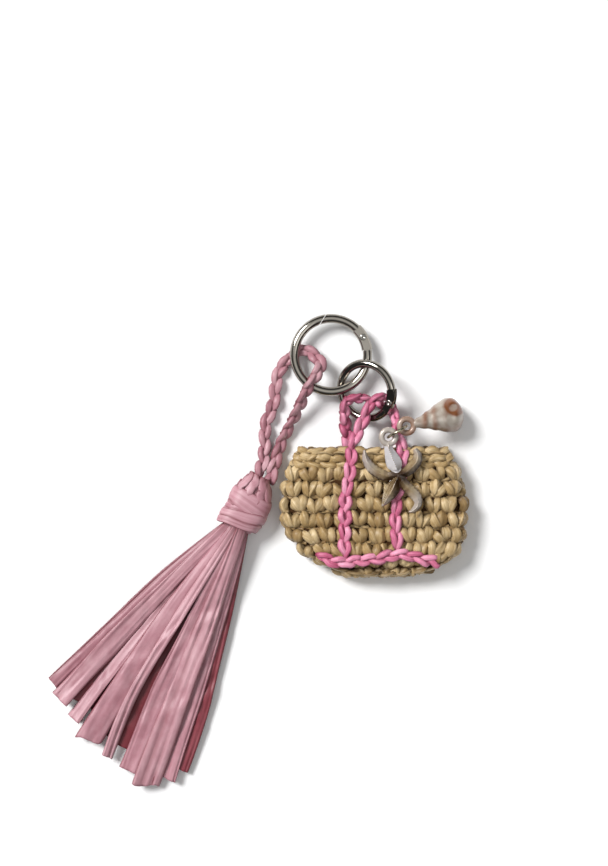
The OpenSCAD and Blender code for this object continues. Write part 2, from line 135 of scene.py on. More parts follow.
class Mesh:
    """Collects swept strands in one mesh. tone differs from strand to strand; strand holds the length
    along it, the turn around it, and how much painted shade it gets where it is tucked in or turned away."""

    def __init__(self):
        self.verts, self.faces, self.tone, self.strand, self.count = [], [], [], [], 0

    def add(self, verts, faces, tone=0.5, strand=None):
        verts = np.asarray(verts, float).reshape(-1, 3)
        n = len(verts)
        self.verts.append(verts)
        self.faces += [tuple(int(i) + self.count for i in f) for f in faces]
        self.tone.append(np.broadcast_to(tone, n).astype(float))
        self.strand.append(np.zeros((n, 3)) if strand is None else np.asarray(strand, float).reshape(n, 3))
        self.count += n

    def sweep(self, path, up, half_w, half_t, tone=0.5, crease=0.08, sides=12, painted_tuck_shade=None, square=1.0,
              shape=None, roll=0.0):
        """Closed strand along a path, flat side facing up. square under 1 makes its section boxy, roll
        turns the box, crease roughens it, and shape replaces it."""
        path = np.asarray(path, float)
        n = len(path)
        t = headings(path)
        across = unit(np.cross(t, np.broadcast_to(up, (n, 3))))
        lift = np.cross(across, t)
        a = 2 * math.pi * np.arange(sides) / sides
        cx = boxy(np.cos(a + roll), square)
        cy = boxy(np.sin(a + roll), square)
        cx, cy = cx * math.cos(roll) + cy * math.sin(roll), cy * math.cos(roll) - cx * math.sin(roll)
        if shape is not None:
            cx, cy = shape(cx, cy)
        ridge = 1 + crease * rng.uniform(-1, 1, sides)[None, :]
        ridge = ridge + 0.3 * crease * rng.uniform(-1, 1, (n, sides))
        half_w = np.broadcast_to(half_w, n)[:, None]
        half_t = np.broadcast_to(half_t, n)[:, None]
        ring = (
            path[:, None]
            + across[:, None] * (cx[None] * ridge * half_w)[..., None]
            + lift[:, None] * (cy[None] * ridge * half_t)[..., None]
        )
        s = lengths(path)
        # painted shade: darker where the strand is tucked in, and by EDGE_SHADE down its sides and underneath
        painted_tuck_shade = np.zeros(n) if painted_tuck_shade is None else painted_tuck_shade
        shade = EDGE_SHADE * (np.abs(np.cos(a)) ** 6 + 1.6 * np.clip(-np.sin(a), 0, 1))
        info = np.stack([
            np.repeat(s[:, None], sides, 1), np.repeat(a[None] / (2 * math.pi), n, 0),
            np.clip(painted_tuck_shade[:, None] + shade[None], 0, 1),
        ], 2)
        faces = []
        for i in range(n - 1):
            for k in range(sides):
                a, b = i * sides + k, i * sides + (k + 1) % sides
                faces.append((a, b, b + sides, a + sides))
        faces += [tuple(range(sides - 1, -1, -1)), tuple((n - 1) * sides + k for k in range(sides))]
        self.add(ring, faces, tone, info)

    def grid(self, points, tone=0.5, wrap_u=False, wrap_v=False, strand=None, flip=False):
        """Surface through an array of points, u by v by 3."""
        nu, nv = points.shape[:2]
        faces = []
        for i in range(nu if wrap_u else nu - 1):
            for k in range(nv if wrap_v else nv - 1):
                a, b = i * nv + k, i * nv + (k + 1) % nv
                c, d = ((i + 1) % nu) * nv + (k + 1) % nv, ((i + 1) % nu) * nv + k
                faces.append((d, c, b, a) if flip else (a, b, c, d))
        self.add(points, faces, tone, strand)


def make(name, mesh, body, material, nodes=()):
    """The mesh as a Blender object that rides on a body and replaces the CAD nodes."""
    verts = np.vstack(mesh.verts)
    verts[:, 2] = np.maximum(verts[:, 2], RESTING)
    verts = (verts + [0, 0, SURFACE]) * MM
    data = bpy.data.meshes.new(name)
    data.from_pydata(verts.tolist(), [], mesh.faces)
    tone = data.attributes.new("tone", "FLOAT", "POINT")
    tone.data.foreach_set("value", np.concatenate(mesh.tone).astype(np.float32))
    strand = data.attributes.new("strand", "FLOAT_VECTOR", "POINT")
    strand.data.foreach_set("vector", np.vstack(mesh.strand).astype(np.float32).ravel())
    data.polygons.foreach_set("use_smooth", [True] * len(data.polygons))
    data.materials.append(material)
    data.update()
    obj = bpy.data.objects.new(name, data)
    bpy.context.scene.collection.objects.link(obj)
    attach(obj, body)
    if nodes:
        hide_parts(*nodes)
    return obj


# ---- materials
def new_material(name):
    mat = bpy.data.materials.new(name)
    mat.use_nodes = True
    nt = mat.node_tree
    nt.nodes.clear()
    out = nt.nodes.new("ShaderNodeOutputMaterial")
    bsdf = nt.nodes.new("ShaderNodeBsdfPrincipled")
    nt.links.new(bsdf.outputs["BSDF"], out.inputs["Surface"])
    return mat, nt, bsdf


def node(nt, kind, inputs=None, **settings):
    n = nt.nodes.new(kind)
    for key, value in settings.items():
        setattr(n, key, value)
    for key, value in (inputs or {}).items():
        if isinstance(value, bpy.types.NodeSocket):
            nt.links.new(value, n.inputs[key])
        else:
            n.inputs[key].default_value = value
    return n


def ramp(nt, factor, stops):
    n = node(nt, "ShaderNodeValToRGB", {"Fac": factor})
    while len(n.color_ramp.elements) < len(stops):
        n.color_ramp.elements.new(0.5)
    for e, (place, colour) in zip(n.color_ramp.elements, stops):
        e.position = place
        e.color = (*colour, 1)
    return n.outputs["Color"]


def mix(nt, factor, a, b):
    n = node(nt, "ShaderNodeMix", data_type="RGBA")
    for key, value in ((0, factor), (6, a), (7, b)):
        if isinstance(value, bpy.types.NodeSocket):
            nt.links.new(value, n.inputs[key])
        elif key:
            n.inputs[key].default_value = (*value, 1)
        else:
            n.inputs[key].default_value = value
    return n.outputs[2]


def maths(nt, operation, a, b=0.0):
    return node(nt, "ShaderNodeMath", {0: a, 1: b}, operation=operation).outputs[0]


def noise(nt, coords, scale, detail, **more):
    inputs = {"Vector": coords, "Scale": scale, "Detail": detail, **more}
    return node(nt, "ShaderNodeTexNoise", inputs).outputs[0]


def roughen(nt, bsdf, height, strength, distance):
    bumped = node(nt, "ShaderNodeBump", {"Height": height, "Strength": strength, "Distance": distance})
    nt.links.new(bumped.outputs[0], bsdf.inputs["Normal"])


def raffia(name, dark, mid, light, gap, sheen=0.04, roughness=0.42, specular=0.35, streak=9.0, bump=0.35,
           stretch=0.12):
    """Split paper or palm yarn: long fibres, soft creases, colour from strand to strand, and the gap colour
    painted in as shade.
    """
    mat, nt, bsdf = new_material(name)
    tone = node(nt, "ShaderNodeAttribute", attribute_name="tone").outputs["Fac"]
    info = node(nt, "ShaderNodeAttribute", attribute_name="strand").outputs["Vector"]
    part = node(nt, "ShaderNodeSeparateXYZ", {0: info}).outputs
    place = node(nt, "ShaderNodeCombineXYZ", {
        0: maths(nt, "MULTIPLY", part[0], stretch),
        1: maths(nt, "MULTIPLY", part[1], streak),
        2: maths(nt, "MULTIPLY", tone, 37.0),
    }).outputs[0]
    fibre = noise(nt, place, 2.2, 6.0, Roughness=0.65)
    coords = node(nt, "ShaderNodeTexCoord").outputs["Object"]
    blotch = noise(nt, coords, 260.0, 3.0)
    value = maths(nt, "ADD", maths(nt, "MULTIPLY", fibre, 0.55), maths(nt, "MULTIPLY", tone, 0.35))
    value = maths(nt, "ADD", value, maths(nt, "MULTIPLY", blotch, 0.2))
    colour = ramp(nt, value, [(0.3, dark), (0.52, mid), (0.75, light)])
    # painted shade: the gap colour mixed in where a strand is tucked in or turned away
    colour = mix(nt, part[2], colour, gap)
    nt.links.new(colour, bsdf.inputs["Base Color"])
    bsdf.inputs["Roughness"].default_value = roughness
    bsdf.inputs["Specular IOR Level"].default_value = specular
    bsdf.inputs["Sheen Weight"].default_value = sheen
    bsdf.inputs["Sheen Roughness"].default_value = 0.4
    roughen(nt, bsdf, fibre, bump, 0.0004)
    return mat


def metal(name, colour, rough, worn=0.08):
    """Polished plated metal, duller where it is worn."""
    mat, nt, bsdf = new_material(name)
    coords = node(nt, "ShaderNodeTexCoord").outputs["Object"]
    cloud = noise(nt, coords, 180.0, 5.0)
    fine = noise(nt, coords, 2600.0, 3.0)
    dull = tuple(c * 0.72 for c in colour)
    nt.links.new(mix(nt, cloud, colour, dull), bsdf.inputs["Base Color"])
    bsdf.inputs["Metallic"].default_value = 1.0
    level = maths(nt, "ADD", maths(nt, "MULTIPLY", cloud, worn), rough - worn / 2)
    nt.links.new(level, bsdf.inputs["Roughness"])
    roughen(nt, bsdf, fine, 0.06, 0.00005)
    return mat


SILVER = (0.52, 0.50, 0.51)


def pearl(name, base, relief, stain, grain, stain_from):
    """Cast pearl finish: pale glossy base, silver where strand says, and the darker stain colour where tone
    is high: colour in the relief, and painted shade where a piece's tone carries it."""
    mat, nt, bsdf = new_material(name)
    coords = node(nt, "ShaderNodeTexCoord").outputs["Object"]
    tone = node(nt, "ShaderNodeAttribute", attribute_name="tone").outputs["Fac"]
    cloud = noise(nt, coords, grain, 5.0, Distortion=0.6)
    colour = mix(nt, ramp(nt, cloud, [(0.35, (0, 0, 0)), (0.68, (1, 1, 1))]), base, relief)
    strand = node(nt, "ShaderNodeAttribute", attribute_name="strand").outputs["Vector"]
    colour = mix(nt, node(nt, "ShaderNodeSeparateXYZ", {0: strand}).outputs[0], colour, SILVER)
    level = maths(nt, "ADD", tone, maths(nt, "MULTIPLY", cloud, 0.35))
    # the stain colour comes in where tone is high, which also holds painted shade
    mask = ramp(nt, level, [(stain_from, (0, 0, 0)), (stain_from + 0.35, (1, 1, 1))])
    colour = mix(nt, mask, colour, stain)
    nt.links.new(colour, bsdf.inputs["Base Color"])
    bsdf.inputs["Roughness"].default_value = 0.3
    bsdf.inputs["Coat Weight"].default_value = 0.4
    bsdf.inputs["Coat Roughness"].default_value = 0.15
    bsdf.inputs["Metallic"].default_value = 0.12
    fine = noise(nt, coords, 1500.0, 4.0)
    roughen(nt, bsdf, fine, 0.25, 0.00012)
    return mat


# each raffia: dark, middling and light strands, and the dark colour painted as shade in the gaps between them
RIBBON = {"streak": 2.6, "bump": 0.18, "stretch": 0.03}
TASSEL_PINK = raffia(
    "tassel_raffia", (0.27, 0.098, 0.125), (0.41, 0.195, 0.23), (0.55, 0.325, 0.36), (0.114, 0.00704, 0.0123),
    **RIBBON,
)
# a darker copy of the tassel raffia: painted shade for the ribbons lying under others
TASSEL_SHADED = raffia(
    "tassel_raffia_shaded", (0.17, 0.017, 0.0298), (0.272, 0.0595, 0.0765), (0.357, 0.128, 0.153),
    (0.0935, 0.0051, 0.0085), **RIBBON,
)
HOT_PINK = raffia(
    "pink_raffia", (0.361, 0.0475, 0.109), (0.57, 0.152, 0.261), (0.779, 0.342, 0.475),
    (0.133, 0.0038, 0.019), sheen=0.05,
)
STRAW = raffia(
    "straw_raffia", (0.19, 0.10, 0.032), (0.37, 0.25, 0.11), (0.68, 0.53, 0.31), (0.032, 0.012, 0.003),
)
# near-black straw: painted shade inside the tote
STRAW_SHADE = raffia(
    "straw_shade_sheet", (0.03, 0.012, 0.004), (0.05, 0.022, 0.008), (0.09, 0.045, 0.018), (0.02, 0.008, 0.003),
    sheen=0.0, roughness=0.9, specular=0.1,
)
NICKEL = metal("ring_metal", (0.39, 0.36, 0.315), rough=0.13)
RIVET = metal("rivet_metal", (0.50, 0.48, 0.44), rough=0.22)
STEEL = metal("spring_steel", (0.5, 0.5, 0.5), rough=0.3)
OLD_GOLD = metal("jump_ring_metal", (0.50, 0.45, 0.33), rough=0.2)
CREAM = pearl(
    "pearl_cream", (0.35, 0.265, 0.145), (0.17, 0.1, 0.038), (0.035, 0.014, 0.003),
    grain=240.0, stain_from=0.32,
)
GREY = pearl(
    "pearl_grey", (0.46, 0.41, 0.35), (0.28, 0.205, 0.16), (0.20, 0.07, 0.025),
    grain=130.0, stain_from=0.43,
)


# ---- yarn
def laid(path, normals, s, lateral, height):
    """Points given as length along a path, distance across it and height over it."""
    p = along(path, s)
    step = 0.05
    t = unit(along(path, np.asarray(s) + step) - along(path, np.asarray(s) - step))
    n = unit(along(np.hstack([path, normals]), s)[:, 3:])
    across = unit(np.cross(t, n))
    n = np.cross(across, t)
    return p + across * np.asarray(lateral)[:, None] + n * np.asarray(height)[:, None], n


def leaf(mesh, points, normals, half_w, half_t, tone, fat=0.45, crease=0.09, sides=14, deep=0.9, skew=1.0,
         fold=0.75):
    """One loop leg: tucked in at both ends and swollen between them. fat is the thickness of its ends,
    deep how dark its ends are painted as shade, and skew over 1 moves the swelling forward."""
    path = smooth(points, 4)
    up = unit(smooth(normals, 4))
    u = np.linspace(0, 1, len(path))
    swell = fat + (1 - fat) * np.sin(math.pi * u**skew) ** 0.7
    # painted shade: the ends, where the leg is tucked in, darker
    painted_tuck_shade = deep * np.clip(1.05 - np.sin(math.pi * (0.03 + 0.94 * u)) * 1.55, 0, 1)
    roll = rng.uniform(-0.6, 0.6)
    mesh.sweep(path, up, half_w * swell, half_t * swell, tone, crease, sides, painted_tuck_shade, square=fold, roll=roll)


def chain(mesh, path, normals, width, thick, pitch, stagger, back=True, opens=1, jitter=0.06, leg=0.3,
          cross=0.0, straw=False, squeeze=(1, 1)):
    """Crocheted chain: pairs of loop legs that make a row of Vs, with the bump behind each pair. stagger
    sets one side of the row on by a share of the pitch, opens turns the Vs round, cross carries each leg
    over the middle, and squeeze narrows the chain at its stations."""
    total = lengths(path)[-1]
    n = max(2, round(total / pitch))
    pitch = total / n
    for i in range(n):
        for side in (-1, 1):
            start = (i + (stagger if side > 0 else 0)) * pitch
            s = start + pitch * np.array([-0.2, 0.14, 0.5, 0.86, 1.12])
            lat = side * width * np.array([-cross, 0.13, 0.29, 0.32, 0.22])
            hgt = thick * np.array([-0.36, 0.08, 0.26, 0.08, -0.42])
            if opens < 0:
                s = total - s
            lat = lat + width * jitter * rng.normal(0, 0.5, 5)
            hgt = hgt + thick * jitter * rng.normal(0, 0.5, 5)
            lat[0], hgt[0] = -side * width * cross, -0.36 * thick
            s = np.clip(s, -0.15 * pitch, total + 0.15 * pitch)
            s = s + np.arange(5) * 1e-3 * (1 if opens > 0 else -1)
            p, up = laid(path, normals, s, lat, hgt)
            grip = np.interp(s[2] / total, np.linspace(0, 1, len(squeeze)), squeeze)
            p = along(path, s) + (p - along(path, s)) * grip
            shade = rng.uniform(0.35, 0.7) if straw else rng.uniform(0.1, 0.9)
            half_w = width * leg * grip * rng.uniform(0.92, 1.08)
            leaf(mesh, p, up, half_w, thick * 0.32 * grip, shade, fat=0.5 if straw else 0.4, crease=0.16)
        if back:
            # painted shade: the bump behind each pair gets only the darkest tones
            s = np.clip(pitch * (i + np.array([-0.1, 0.3, 0.7, 1.1])), 0, total) + np.arange(4) * 1e-3
            p, up = laid(path, normals, s, np.zeros(4), thick * np.array([-0.12, -0.24, -0.24, -0.12]))
            leaf(mesh, p, up, width * 0.36, thick * 0.26, rng.uniform(0.0, 0.3), deep=0.5)


def turned(path, angles):
    """Normals of a path: world up, turned about the path by the angles in degrees."""
    t = headings(path)
    across = unit(np.cross(t, [0, 0, 1.0]))
    up = np.cross(across, t)
    share, stations = np.linspace(0, 1, len(path)), np.linspace(0, 1, len(angles))
    a = np.radians(np.interp(share, stations, angles))[:, None]
    return up * np.cos(a) + across * np.sin(a)


def cord(name, node_name, body, slot, material, route, angles, real_width, **plait):
    """A plaited cord along its route, with its front turned by the angles."""
    mesh = Mesh()
    path = smooth(route, 6)
    chain(mesh, path, turned(path, angles), **plait)
    obj = make(name, mesh, body, material, [node_name])


cord("tassel_plait", "tassel_cord", "tassel", "tassel_raffia", TASSEL_PINK, TASSEL_ROUTE,
     (0, 0, 0, 0, 25, 0, -40, -50, -40, 0), TASSEL_CORD_W,
     width=TASSEL_CORD_W * 0.98, thick=TASSEL_CORD_T * 0.95, pitch=6.4, stagger=0.45, leg=0.31, cross=0.3)
cord("front_handle_chain", "front_handle", "tote", "pink_raffia", HOT_PINK, FRONT_ROUTE,
     (0, 20, 40, 30, 0, 0), HANDLE_W,
     width=HANDLE_W, thick=HANDLE_T, pitch=6.6, stagger=0.4, leg=0.33, cross=0.28,
     squeeze=(1, 1, 0.95, 0.75, 0.68, 0.7, 0.9, 1))
cord("back_handle_chain", "back_handle", "tote", "pink_raffia", HOT_PINK, BACK_ROUTE,
     (0, 50, 60, 30, 0, 0), HANDLE_W,
     width=HANDLE_W, thick=HANDLE_T, pitch=5.0, stagger=0.5, leg=0.34, cross=0.22,
     squeeze=(1, 1, 1, 0.9, 0.72, 0.68, 0.8, 1))


# ---- tassel head
def mesh_angles(stations, sides):
    """Stations down the rows and angles all the way round the columns of a grid."""
    return np.meshgrid(stations, np.linspace(0, 2 * np.pi, sides, endpoint=False), indexing="ij")


HEAD_TOP = np.array([-28.0, -48.2])
HEAD_DIR = unit([-9.2, -18.8])
HEAD_SIDE = np.array([-HEAD_DIR[1], HEAD_DIR[0]])  # towards +X
HEAD_LENGTH = 21.0
HEAD_H = 6.0


def head_size(s):
    """Half width and half thickness of the bound core at a share of its length."""
    swell = np.sin(np.pi / 2 * np.clip(s / 0.4, 0, 1))
    taper = np.clip((s - 0.7) / 0.3, 0, 1)
    return 3.6 + 3.7 * swell - 0.7 * taper, 3.4 + 1.3 * swell - 0.3 * taper


def head_point(s, turn, out, folds=0.0):
    """Point on the head: share of its length, angle round it, distance outside the core."""
    w, t = head_size(s)
    x, z = boxy(np.cos(turn), 0.85), boxy(np.sin(turn), 0.85)
    w, t = w + out + folds, t + np.minimum(out, 1.2) * 0.85 + folds * 0.6
    bow = 0.9 * np.sin(np.pi * np.clip(s, 0, 1))
    flat = HEAD_TOP + HEAD_DIR * (s * HEAD_LENGTH)[..., None] + HEAD_SIDE * (x * w + bow)[..., None]
    return np.concatenate([flat, (HEAD_H + z * t)[..., None]], -1)


def folds_at(turn, s, seed, count, deep):
    """Soft lengthwise folds of bunched ribbon."""
    r = np.random.default_rng(seed)
    total = np.zeros_like(turn)
    for _ in range(count):
        centre, width, drift = r.uniform(0, 2 * np.pi), r.uniform(0.07, 0.2), r.uniform(-0.5, 0.5)
        gap = (turn - centre - drift * s + np.pi) % (2 * np.pi) - np.pi
        total -= deep * r.uniform(0.5, 1) * np.exp(-((gap / width) ** 2))
    return total


HEAD_SIDES = 72
# ribbons folded over the top of the head, into which both cord ends run: angle round it, share of its length
TOP_FOLDS = ((0.5, 0.42), (1.15, 0.45), (1.8, 0.4), (2.5, 0.42), (-0.6, 0.4), (-1.6, 0.4), (3.6, 0.4))


def head_core():
    mesh = Mesh()
    s, turn = mesh_angles(np.linspace(-0.02, 1.0, 30), HEAD_SIDES)
    fold = folds_at(turn, s, seed=3, count=10, deep=0.9) * np.clip(1.3 - s, 0, 1)
    points = head_point(s, turn, np.zeros_like(s), fold)
    # painted shade: darker in the folds
    info = np.stack([s * HEAD_LENGTH, turn / (2 * np.pi), np.clip(-fold * 0.9, 0, 0.9)], -1)
    mesh.grid(points, 0.45, wrap_v=True, strand=info)
    last = (len(s) - 1) * HEAD_SIDES
    mesh.faces += [tuple(range(HEAD_SIDES - 1, -1, -1)), tuple(last + k for k in range(HEAD_SIDES))]
    for a, reach in TOP_FOLDS:
        u = np.linspace(-0.06, reach, 7)
        line = head_point(u, np.full(7, a) + rng.uniform(-0.1, 0.1, 7), np.full(7, 0.25))
        out = line - head_point(u, np.full(7, a), np.full(7, -3.0))
        path = smooth(line, 3)
        u = np.linspace(0, 1, len(path))
        half_w = 2.1 * (0.55 + 0.45 * np.sin(math.pi * u))
        # painted shade: each folded ribbon darker towards both ends
        painted_tuck_shade = 0.7 * np.clip(1 - 4 * np.minimum(u, 1 - u), 0, 1)
        mesh.sweep(path, unit(smooth(out, 3)), half_w, 0.75, rng.uniform(0.3, 0.9), 0.12, 14, painted_tuck_shade)
    return mesh


def head_band(mesh, top_left, top_right, low_left, low_right, out, seed, tone):
    """A flat ribbon wound round the head, each edge at one share of its length on the left and another on
    the right."""
    r = np.random.default_rng(seed)
    turn = np.linspace(0, 2 * np.pi, 96, endpoint=False)
    right = (np.cos(turn) + 1) / 2
    top, low = top_left + (top_right - top_left) * right, low_left + (low_right - low_left) * right
    top = top + 0.005 * np.sin(3 * turn + seed)
    low = low + 0.006 * np.sin(4 * turn + 2 * seed)
    across = np.linspace(0, 1, 15)
    t, c = np.meshgrid(turn, across, indexing="ij")
    s = top[:, None] + (low - top)[:, None] * c
    crease = np.zeros_like(s)
    for _ in range(3):
        centre, width = r.uniform(0.1, 0.9), r.uniform(0.03, 0.06)
        sway = 0.05 * np.sin(t * r.integers(1, 4) + r.uniform(0, 6))
        crease -= r.uniform(0.1, 0.28) * np.exp(-(((c - centre - sway) / width) ** 2))
    crown = 0.45 * np.sin(np.pi * c) ** 0.6 + 0.05 * np.sin(7 * t + seed)
    outer = head_point(s, t, out + crown + crease)
    inner = head_point(s, t, np.full_like(s, out - 0.8))
    loop = np.concatenate([outer, inner[:, ::-1]], 1)
    # painted shade: darker in the creases and at both edges of the band, and the inner face dark
    deep = np.clip(-crease * 2.2 + 0.75 * np.abs(2 * c - 1) ** 14, 0, 0.85)
    info = np.stack([t * 7.0, c * 0.9, deep], -1)
    back = np.stack([t * 7.0, c * 0.9, np.full_like(c, 0.7)], -1)[:, ::-1]
    mesh.grid(loop, tone, wrap_u=True, wrap_v=True, strand=np.concatenate([info, back], 1), flip=True)


make("tassel_head_folds", head_core(), "tassel", TASSEL_PINK, ["tassel_head_core"])
for name, node_name, edges, out, seed, tone in (
    ("tassel_band_upper", "tassel_wrap_upper", (0.28, 0.3, 0.62, 0.8), 0.9, 5, 0.6),
    ("tassel_band_middle", "tassel_wrap_middle", (0.6, 0.5, 0.86, 0.8), 0.6, 9, 0.4),
    ("tassel_band_lower", "tassel_wrap_lower", (0.76, 0.56, 1.03, 0.95), 1.25, 14, 0.7),
):
    mesh = Mesh()
    head_band(mesh, *edges, out, seed, tone)
    make(name, mesh, "tassel", TASSEL_PINK, [node_name])

# ---- tassel skirt
FAN_APEX = np.array([-22.6, -44.1])
NECK = 25.5  # radius at which the ribbons come out from under the head
PALE_UP_TO = 0.12  # ribbons deeper in shade than this get the darker copy of the pink, painted shade


def fan(radius, angle):
    a = math.radians(angle)
    return FAN_APEX + radius * np.array([math.cos(a), math.sin(a)])


FAN_MIDDLE = 239  # angle of the middle ribbon
KINKS = 3  # dents across each ribbon
KINK_LENGTH = 0.035  # as a share of its length
FOLD_WIDTHS = (0.28, 0.1, 0.06)  # lengthwise creases, as shares of its half width
RIBBON_SIDES = 40
SHARP = 0.1  # creases narrower than this share are shallower too


def ribbon(mesh, route, heights, widths, thick, seed, tone, deep, slant):
    """Folded paper ribbon: a flattened tube with creases, dents and an open, slanted cut end. route holds
    the radius and the fan angle at its stations."""
    r = np.random.default_rng(seed)
    flat = np.array([fan(rad, ang) for rad, ang in route])
    path = smooth(np.column_stack([flat, heights]), 22)
    n, sides = len(path), RIBBON_SIDES
    u = np.linspace(0, 1, n)
    w = np.interp(u, np.linspace(0, 1, len(widths)), widths) / 2
    w = w * (1 + 0.05 * np.sin(u * r.uniform(9, 14) + r.uniform(0, 6)))
    th = thick * (1.0 + 0.35 * u) / 2
    t = headings(path)
    across = unit(np.cross(t, [0, 0, 1.0]))
    lift = np.cross(across, t)
    a = 2 * np.pi * np.arange(sides) / sides
    x, z = boxy(np.cos(a), 0.8), boxy(np.sin(a), 0.8)
    tilt = np.interp(u, [0, 0.3, 0.6, 1], r.uniform(-0.55, 0.55, 4))
    upper = np.clip(np.sin(a), 0, 1) ** 0.5
    crease = np.zeros((n, sides))
    for width in FOLD_WIDTHS:
        centre = np.interp(u, [0, 0.35, 0.7, 1], r.uniform(-0.75, 0.75) + r.uniform(-0.2, 0.2, 4))[:, None]
        fade = np.interp(u, [0, 0.5, 1], r.uniform(0.3, 1, 3)) * (0.2 + 0.8 * np.clip(u * 2.5, 0, 1))
        depth = r.uniform(0.45, 1.0) * min(1.0, width / SHARP) * fade[:, None]
        crease += depth * np.exp(-(((x[None] - centre) / width) ** 2)) * upper[None]
    waves = r.uniform(4, 26, (5, 3))
    rumple = sum(0.05 * np.sin(u[:, None] * f + x[None] * g + h) for f, g, h in waves)
    height = z[None] * (1 + rumple) - 0.85 * crease * np.clip(z, 0, 1)[None]
    height = height + tilt[:, None] * x[None] * 1.6
    for centre, slope, size in r.uniform((0.35, -0.06, 0.3), (0.85, 0.06, 1.0), (KINKS, 3)):
        d = (u[:, None] - centre - slope * x[None]) / KINK_LENGTH
        height = height + size * d * np.exp(-(d**2)) * upper[None]
    cut = slant * w[-1] * (x + 0.3 * np.sin(3 * a + seed)) * (u ** 12)[:, None]
    ring = (
        path[:, None]
        + across[:, None] * (x[None] * w[:, None])[..., None]
        + lift[:, None] * (height * th[:, None])[..., None]
        + t[:, None] * cut[..., None]
    )
    ring[..., 2] = np.maximum(ring[..., 2], RIBBON_REST)
    s = lengths(path)
    # painted shade: darker down the sides, underneath, in the creases, near the neck and by how deep the
    # ribbon lies
    painted_side_shade = 0.8 * np.abs(np.cos(a))[None] ** 8 + 0.8 * np.clip(-np.sin(a), 0, 1)[None]
    painted_tuck_shade = np.clip(crease * 0.5 + painted_side_shade + deep + 0.6 * np.clip(1 - u[:, None] * 6, 0, 1) ** 2, 0, 0.95)
    around = a / (2 * np.pi)
    info = np.stack([np.repeat(s[:, None], sides, 1), np.repeat(around[None], n, 0), painted_tuck_shade], -1)
    # the hollow behind the cut edge: distance back from it, share of the section, and its painted shade
    inner, inside = [], []
    for back, shrink, dark in ((0.0, 0.86, 0.3), (3.0, 0.8, 0.9), (7.0, 0.5, 1.0)):
        k = min(int(np.searchsorted(s, s[-1] - back)), n - 1)
        middle = ring[k].mean(0)
        inner.append(middle + (ring[k] - middle) * [shrink, shrink, shrink * 0.75])
        inside.append(np.column_stack([np.ones(sides), around, np.full(sides, dark)]))
    points = np.concatenate([ring, inner])
    mesh.grid(points, tone, wrap_v=True, strand=np.concatenate([info, inside]))
    base = mesh.count - len(points) * sides
    last = base + (len(points) - 1) * sides
    mesh.faces += [tuple(base + k for k in range(sides - 1, -1, -1)), tuple(last + k for k in range(sides))]


# name, (radius, angle) stations after the neck, heights, widths, thickness, tone, how deep in painted shade
RIBBONS = [
    ("under_1", [(60, 231), (95, 230.8), (119, 230.4)],
     (3.2, 2.4, 1.6, 1.2), (3, 7, 13, 12), 1.5, 0.4, 0.5),
    ("under_2", [(60, 237), (95, 236.8), (122, 236.8)],
     (3.4, 2.6, 2.0, 1.4), (3, 7, 13, 12), 1.5, 0.4, 0.5),
    ("under_3", [(60, 241), (95, 241.6), (124, 242.2)],
     (4.4, 3.6, 3.0, 2.0), (3, 8, 13, 12), 1.5, 0.3, 0.5),
    ("under_4", [(60, 248), (95, 249.3), (122, 250)],
     (3.4, 2.6, 2.0, 1.4), (3, 7, 11, 10), 1.5, 0.3, 0.4),
    ("mid_1", [(60, 225), (95, 224.6), (120.5, 224.3)],
     (4.4, 3, 2.2, 1.8), (3, 5, 6, 5), 1.6, 0.4, 0.1),
    ("mid_2", [(60, 231.5), (95, 231.2), (125.5, 231.5)],
     (5.0, 3.8, 3.0, 2.4), (3, 4.4, 5.4, 5.6), 1.8, 0.7, 0.0),
    ("mid_3", [(60, 243.5), (95, 244.6), (127, 246)],
     (4.4, 3.2, 2.4, 2), (3, 5, 8, 8), 1.8, 0.35, 0.5),
    ("mid_4", [(60, 252), (95, 253.2), (123.5, 253.2)],
     (4.4, 3.2, 2.4, 2), (3, 5, 7, 5.4), 1.9, 0.3, 0.2),
    ("top_1", [(60, 228.2), (95, 227.4), (123, 227.3)],
     (7, 5, 4, 3.4), (4, 6, 8, 7.8), 2.4, 0.65, 0),
    ("top_2", [(60, 234.6), (95, 235.2), (128.5, 235.8)],
     (8, 5.6, 4.6, 3.6), (4, 6.6, 9.4, 9.8), 2.2, 0.5, 0),
    ("top_3", [(68, 237.6), (104, 238.2), (130, 240.1)],
     (9.4, 7.0, 5.8, 4.0), (3.2, 4.2, 4.4, 4.6), 2.0, 0.8, 0),
    ("top_4", [(60, 242.6), (95, 243.4), (131, 244.5)],
     (9, 6.2, 5, 3.4), (4, 6, 8, 8.4), 2.2, 0.5, 0),
    ("top_5", [(60, 246.6), (95, 247.4), (133.5, 248.1)],
     (9.6, 7, 5.6, 3.8), (4, 7, 10, 10.4), 2.8, 0.7, 0),
    ("top_6", [(60, 250.4), (95, 251.2), (128.5, 251.5)],
     (7.4, 5.0, 4.0, 2.8), (3.6, 4.8, 5.8, 5.6), 2.0, 0.5, 0),
]
for k, (name, stations, heights, widths, thick, tone, deep) in enumerate(RIBBONS):
    mesh = Mesh()
    neck_angle = FAN_MIDDLE + 0.5 * (stations[0][1] - FAN_MIDDLE)
    route = [(NECK, neck_angle)] + stations
    ribbon(mesh, route, heights, widths, thick, 30 + k, tone, deep, slant=rng.uniform(-0.35, 0.35))
    # ribbons deep in shade take the darker copy, painted shade
    material = TASSEL_PINK if deep < PALE_UP_TO else TASSEL_SHADED
    make("ribbon_" + name, mesh, "tassel", material, ["tassel_ribbon_" + name])

# ---- tote
BAG_MIDDLE = (16.4, -59.5)
BAG_HALF_W = 36.5
BAG_TOP = 22.0
BAG_DEPTH = 27.0
BAG_H = 6.7  # height of the middle of the tote's thickness
YARN_BASE = 4.6  # half thickness under the stitches
STITCH_W = 6.3
